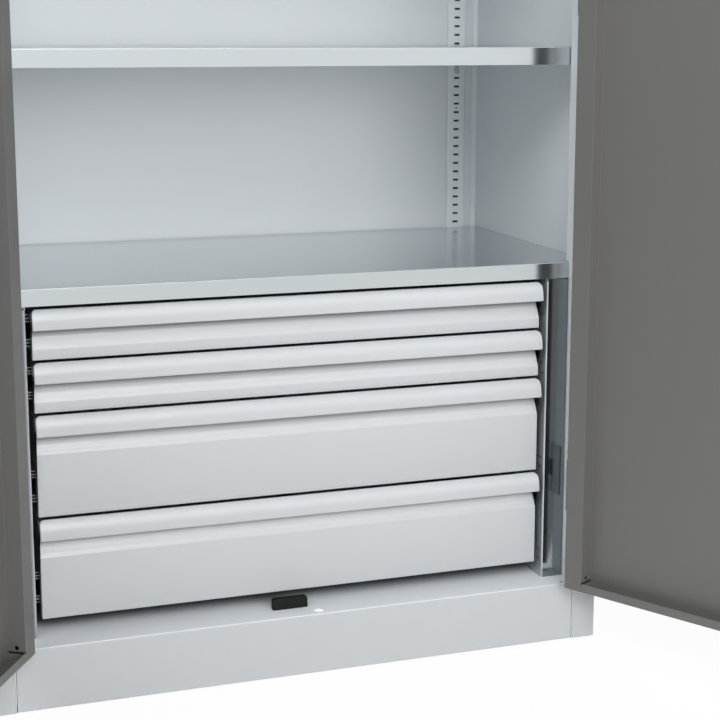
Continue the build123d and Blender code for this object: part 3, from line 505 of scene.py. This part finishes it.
def frontProfile(spec, low, high):
    # depth against height, closed: down the lip's back into the groove, back and down behind the front, then
    # up the face, along the straight slope that leans back under the lip, and up the lip
    lipLow = high - spec["lipHeight"]
    lip = lipArc(spec, lipLow, high)
    slopeFoot = np.array([spec["face"], lipLow - spec["slopeHeight"]])
    slopeTop = np.array([spec["recess"], lipLow])
    slope = slopeFoot + (slopeTop - slopeFoot) * np.array(spec["slopeShares"])[:, None]
    behind = spec["lipTop"] + spec["grooveWidth"]
    grooveFloor = high - spec["grooveDepth"]
    points = np.vstack([(behind, high), (behind, grooveFloor), (spec["back"], grooveFloor),
                        (spec["back"], low), (spec["face"], low), slopeFoot, slope, slopeTop, lip])
    radii = [spec["lipBackRound"], *[spec["innerRound"]] * 3, *[spec["faceRound"]] * 2,
             *[spec["slopeRound"]] * len(slope), spec["slopeTopRound"], spec["lipFootRound"],
             *[spec["lipRound"]] * (len(lip) - 1)]
    return roundedLoop(points, radii, spec["roundSteps"])


def frontRings(spec, low, high):
    # the profile at each station, and rounded top corners: within a corner's radius r of an end, at d from
    # it, the height stops at high - (r - sqrt(r^2 - (r - d)^2))
    corner = spec["topCorner"]
    more = np.linspace(spec["firstCornerShare"], 1.0, spec["cornerSteps"]) * corner
    half = spec["halfWidth"]
    place, inset = endStations(-half, half, spec["endRound"], spec["endSteps"], more)
    fromEnd = np.minimum(place + half, half - place)
    short = np.clip(corner - fromEnd, 0, corner)
    top = high - (corner - np.sqrt(corner**2 - short**2)) - inset
    loops = insetLoops(frontProfile(spec, low, high), inset)
    loops[..., 1] = np.minimum(loops[..., 1], top[:, None])
    return carryAlong(loops, place, 0)


def addPaintedShading(piece, spec, high):
    # the finish's tone against the distance below the front's top, straight between the given heights:
    # painted shade and highlight
    spots = np.empty(len(piece.data.vertices) * 3, np.float32)
    piece.data.vertices.foreach_get("co", spots)
    tone = np.interp(high - spots[2::3], spec["paintedShadingBelow"], spec["tone"])
    piece.data.attributes.new("tone", "FLOAT", "POINT").data.foreach_set("value", tone.astype(np.float32))


for number in range(1, 5):
    low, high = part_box(f"drawer_front_{number}")
    rings = frontRings(drawerFront, low.z, high.z)
    piece = ringMesh(f"drawerFront{number}", rings, materials["frontPowder"])
    addPaintedShading(piece, drawerFront, high.z)
    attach(piece, f"drawer_{number}")
    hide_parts(f"drawer_front_{number}")
print("drawer fronts folded")


# Door stops: rounded blocks of black plastic, one on the floor and one under the roof rail

doorStop = dict(left=-0.047, right=0.006, front=-0.217, back=-0.206, height=0.0165, corner=0.0034,
                foot=0.0004, cornerSteps=8, edge=0.0007, edgeSteps=5)


def stopRings(spec, seat, tip):
    # a rectangle seen from the front, its two free corners rounded, carried from front to back
    corners = [(spec["left"], seat), (spec["right"], seat), (spec["right"], tip), (spec["left"], tip)]
    radii = [spec["foot"], spec["foot"], spec["corner"], spec["corner"]]
    place, inset = endStations(spec["front"], spec["back"], spec["edge"], spec["edgeSteps"])
    return carryAlong(insetLoops(roundedLoop(corners, radii, spec["cornerSteps"]), inset), place, 1)


stopLow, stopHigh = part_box("door_stops")
blocks = [ringMesh("stopOnFloor", stopRings(doorStop, stopLow.z, stopLow.z + doorStop["height"]),
                   materials["blackPlastic"]),
          ringMesh("stopUnderRail", stopRings(doorStop, stopHigh.z, stopHigh.z - doorStop["height"]),
                   materials["blackPlastic"])]
for block in blocks:
    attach(block, "carcase")
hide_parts("door_stops")
print("door stops moulded")


# Floor plugs: a dished black plug in each of the floor's two small holes

# radius at each distance below the plug's top
floorPlug = dict(apart=0.411, front=-0.241, top=0.094, turns=32,
                 radius=(0.0016, 0.0023, 0.00242, 0.00242, 0.0023, 0.0019, 0.0015, 0.0006),
                 below=(0.0014, 0.0014, 0.0011, 0.0005, 0.00025, 0.0002, 0.00045, 0.00055))


def plugRings(spec, side):
    # radius against height, spun about an upright axis
    height = spec["top"] - np.array(spec["below"])
    centre = (side * spec["apart"], spec["front"])
    return spinAlong(np.array(spec["radius"]), height, centre, 2, spec["turns"])


for name, side in (("floorPlugLeft", -1), ("floorPlugRight", 1)):
    plug = ringMesh(name, plugRings(floorPlug, side), materials["blackPlastic"])
    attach(plug, "carcase")
print("floor plugs seated")


# Lever: an oval bar that narrows from its hub, drawn on the closed door and turned with it

lever = dict(axisX=0.024, axisZ=1.05, front=-0.2703, back=-0.2563,
             thick=0.008, length=0.118, rootHalf=0.0095, tipHalf=0.007, squareness=3.6, thinning=0.35,
             firstAngle=0.02, endSteps=9, barSteps=14, barTurns=40, barSmooth=50,
             hubRadius=0.012, hubRound=0.003, capShare=0.35, grooveWidth=0.0010, grooveFade=0.0002,
             grooveDepth=0.0006, hubSteps=7, hubTurns=64, hubSmooth=40)


def turnedOpen(points):
    # turn about the hinge pin by the angle at which the door stands
    pinX, pinY = door["pin"]
    x, y = points[..., 0] - pinX, points[..., 1] - pinY
    cosine, sine = math.cos(door["open"]), math.sin(door["open"])
    return np.stack([pinX + x * cosine - y * sine, pinY + x * sine + y * cosine, points[..., 2]], -1)


def leverRings(spec):
    # half height follows the hull of the root's and the tip's circle. A section is a superellipse: depth is
    # |cos t| and height |sin t|, both to the power 2 / squareness, and it gets thinner where it gets low
    root, tip = spec["rootHalf"], spec["tipHalf"]
    tipX = spec["length"] - tip
    angle = np.linspace(spec["firstAngle"], np.pi / 2, spec["endSteps"])
    along = np.concatenate([-root * np.cos(angle), np.linspace(0, tipX, spec["barSteps"])[1:-1],
                            tipX + tip * np.cos(angle[::-1])])
    half = np.concatenate([root * np.sin(angle), np.linspace(root, tip, spec["barSteps"])[1:-1],
                           tip * np.sin(angle[::-1])])
    turn = np.linspace(0, 2 * np.pi, spec["barTurns"], endpoint=False)
    power = 2 / spec["squareness"]
    depth = np.sign(np.cos(turn)) * np.abs(np.cos(turn)) ** power * spec["thick"] / 2
    rise = np.sign(np.sin(turn)) * np.abs(np.sin(turn)) ** power
    thin = np.clip(half / tip, 0, 1)[:, None] ** spec["thinning"]
    loops = np.stack([spec["front"] + spec["thick"] / 2 + depth[None] * thin,
                      spec["axisZ"] + half[:, None] * rise[None]], -1)
    return carryAlong(loops, spec["axisX"] + along, 0)


def hubRings(spec):
    # radius against depth, spun about the spindle: a rounded front edge, radius r - e + e sin t at a depth of
    # e (1 - cos t), and a short shadow groove at the rose. The face is flat inside the first ring
    edge, radius, back = spec["hubRound"], spec["hubRadius"], spec["back"]
    angle = np.linspace(0, np.pi / 2, spec["hubSteps"])
    groove = radius - spec["grooveDepth"]
    shoulder = back - spec["grooveWidth"]
    depth = np.concatenate([[spec["front"]], spec["front"] + edge * (1 - np.cos(angle)),
                            [shoulder - spec["grooveFade"], shoulder, back]])
    radii = np.concatenate([[radius * spec["capShare"]], radius - edge + edge * np.sin(angle),
                            [radius, groove, groove]])
    return spinAlong(radii, depth, (spec["axisX"], spec["axisZ"]), 1, spec["hubTurns"])


leverBar = ringMesh("leverBar", turnedOpen(leverRings(lever)), materials["satinNickel"], lever["barSmooth"])
leverHub = ringMesh("leverHub", turnedOpen(hubRings(lever)), materials["satinNickel"], lever["hubSmooth"])
for piece in (leverBar, leverHub):
    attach(piece, "handle")
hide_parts("door_handle")
print("lever shaped")


# Floor, light and camera

studio = dict(floorHalf=9.0, floorColour=(0.90, 0.90, 0.90, 1), floorRoughness=0.9, floorGlow=0.94,
              glowReach=(1.4, 3.2), dome=0.06, domeTint=(0.97, 0.99, 1.0, 1))


def rayMask(tree):
    # 1 for what the camera sees directly, in a reflection or through glass
    path = addNode(tree, "ShaderNodeLightPath").outputs
    seen = mathNode(tree, "MAXIMUM", path["Is Camera Ray"], path["Is Glossy Ray"])
    return mathNode(tree, "MAXIMUM", seen, path["Is Transmission Ray"])


def mixShader(tree, factor, first, second):
    values = {0: factor, 1: first.outputs[0], 2: second.outputs[0]}
    return addNode(tree, "ShaderNodeMixShader", values).outputs[0]


def makeFloor(spec):
    # a pale floor that looks more and more like the white backdrop with its distance from the cabinet
    half = spec["floorHalf"]
    mesh = bpy.data.meshes.new("studioFloor")
    corners = [(-half, -half, 0), (half, -half, 0), (half, half, 0), (-half, half, 0)]
    mesh.from_pydata(corners, [], [(0, 1, 2, 3)])
    material, tree, bsdf = newMaterial("paleFloor")
    out = next(node for node in tree.nodes if node.type == "OUTPUT_MATERIAL")
    bsdf.inputs["Base Color"].default_value = spec["floorColour"]
    bsdf.inputs["Roughness"].default_value = spec["floorRoughness"]
    bsdf.inputs["Specular IOR Level"].default_value = 0.0
    glow = addNode(tree, "ShaderNodeEmission", {"Strength": 1.0})
    away = vectorNode(tree, "LENGTH", {0: coordinates(tree, "Object")})["Value"]
    glowHere = mapRange(tree, away, *spec["glowReach"], spec["floorGlow"], 1.0)
    share = mathNode(tree, "MULTIPLY", rayMask(tree), glowHere)
    feed(tree, out.inputs["Surface"], mixShader(tree, share, bsdf, glow))
    mesh.materials.append(material)
    floor = bpy.data.objects.new("studioFloor", mesh)
    bpy.context.scene.collection.objects.link(floor)


def makeWorld(spec):
    # a dim dome lights the scene, and the camera and reflections see white
    world = bpy.data.worlds.new("studioWorld")
    world.use_nodes = True
    bpy.context.scene.world = world
    tree = world.node_tree
    tree.nodes.clear()
    light = addNode(tree, "ShaderNodeBackground", {"Color": spec["domeTint"], "Strength": spec["dome"]})
    seen = addNode(tree, "ShaderNodeBackground", {"Color": (1, 1, 1, 1), "Strength": 1.0})
    addNode(tree, "ShaderNodeOutputWorld", {"Surface": mixShader(tree, rayMask(tree), light, seen)})


# a mirrored lamp shows in the steel's reflections
lampBase = dict(aim=(0.0, 0.0, 0.7), mirrored=False)
lamps = {
    "eyeLamp": dict(lampBase, place=(-0.6, -3.4, 1.3), size=1.4, power=10.0),
    "eyeLampRight": dict(lampBase, place=(0.8, -3.6, 1.2), size=1.4, power=43.0),
    "rightLamp": dict(lampBase, place=(2.6, -3.8, 1.8), size=2.2, power=27.0),
    "softBoxLow": dict(lampBase, place=(-0.3, -3.4, 2.4), size=1.4, power=36.0, mirrored=True),
    "softBoxHigh": dict(lampBase, place=(-0.3, -2.6, 3.4), size=2.0, power=17.0, mirrored=True),
    "topLamp": dict(lampBase, place=(0.0, -1.9, 4.2), size=2.4, power=12.0, mirrored=True),
    "leftHighLamp": dict(lampBase, place=(-2.6, -2.6, 3.2), size=2.2, power=66.0),
    "backLamp": dict(lampBase, place=(0.8, 4.4, 2.4), aim=(0.0, 0.0, 1.0), size=3.0, power=130.0),
    "leftSideLamp": dict(lampBase, place=(-4.2, 1.0, 2.2), aim=(0.0, 0.0, 1.0), size=2.4, power=58.0),
    "rightSideLamp": dict(lampBase, place=(4.2, 1.0, 2.2), aim=(0.0, 0.0, 1.0), size=2.4, power=75.0),
}


def makeLamp(name, spec):
    data = bpy.data.lights.new(name, "AREA")
    data.shape = "DISK"
    data.size = spec["size"]
    data.energy = spec["power"]
    lamp = bpy.data.objects.new(name, data)
    lamp.visible_glossy = spec["mirrored"]
    lamp.location = spec["place"]
    lamp.rotation_euler = (Vector(spec["place"]) - Vector(spec["aim"])).to_track_quat("Z", "Y").to_euler()
    bpy.context.scene.collection.objects.link(lamp)


view = dict(place=(-0.6114, -2.2966, 0.9315), yaw=18.595, pitch=10.139, lens=76.57, sensor=36.0, shift=-0.07)


def makeCamera(spec):
    data = bpy.data.cameras.new("photoCamera")
    data.sensor_width = spec["sensor"]
    data.lens = spec["lens"]
    data.shift_y = spec["shift"]
    camera = bpy.data.objects.new("photoCamera", data)
    camera.location = spec["place"]
    camera.rotation_euler = (math.radians(90 - spec["pitch"]), 0, math.radians(-spec["yaw"]))
    bpy.context.scene.collection.objects.link(camera)
    bpy.context.scene.camera = camera


makeFloor(studio)
makeWorld(studio)
for name, spec in lamps.items():
    makeLamp(name, spec)
makeCamera(view)
bpy.context.scene.view_settings.view_transform = "Standard"
print("studio set up")
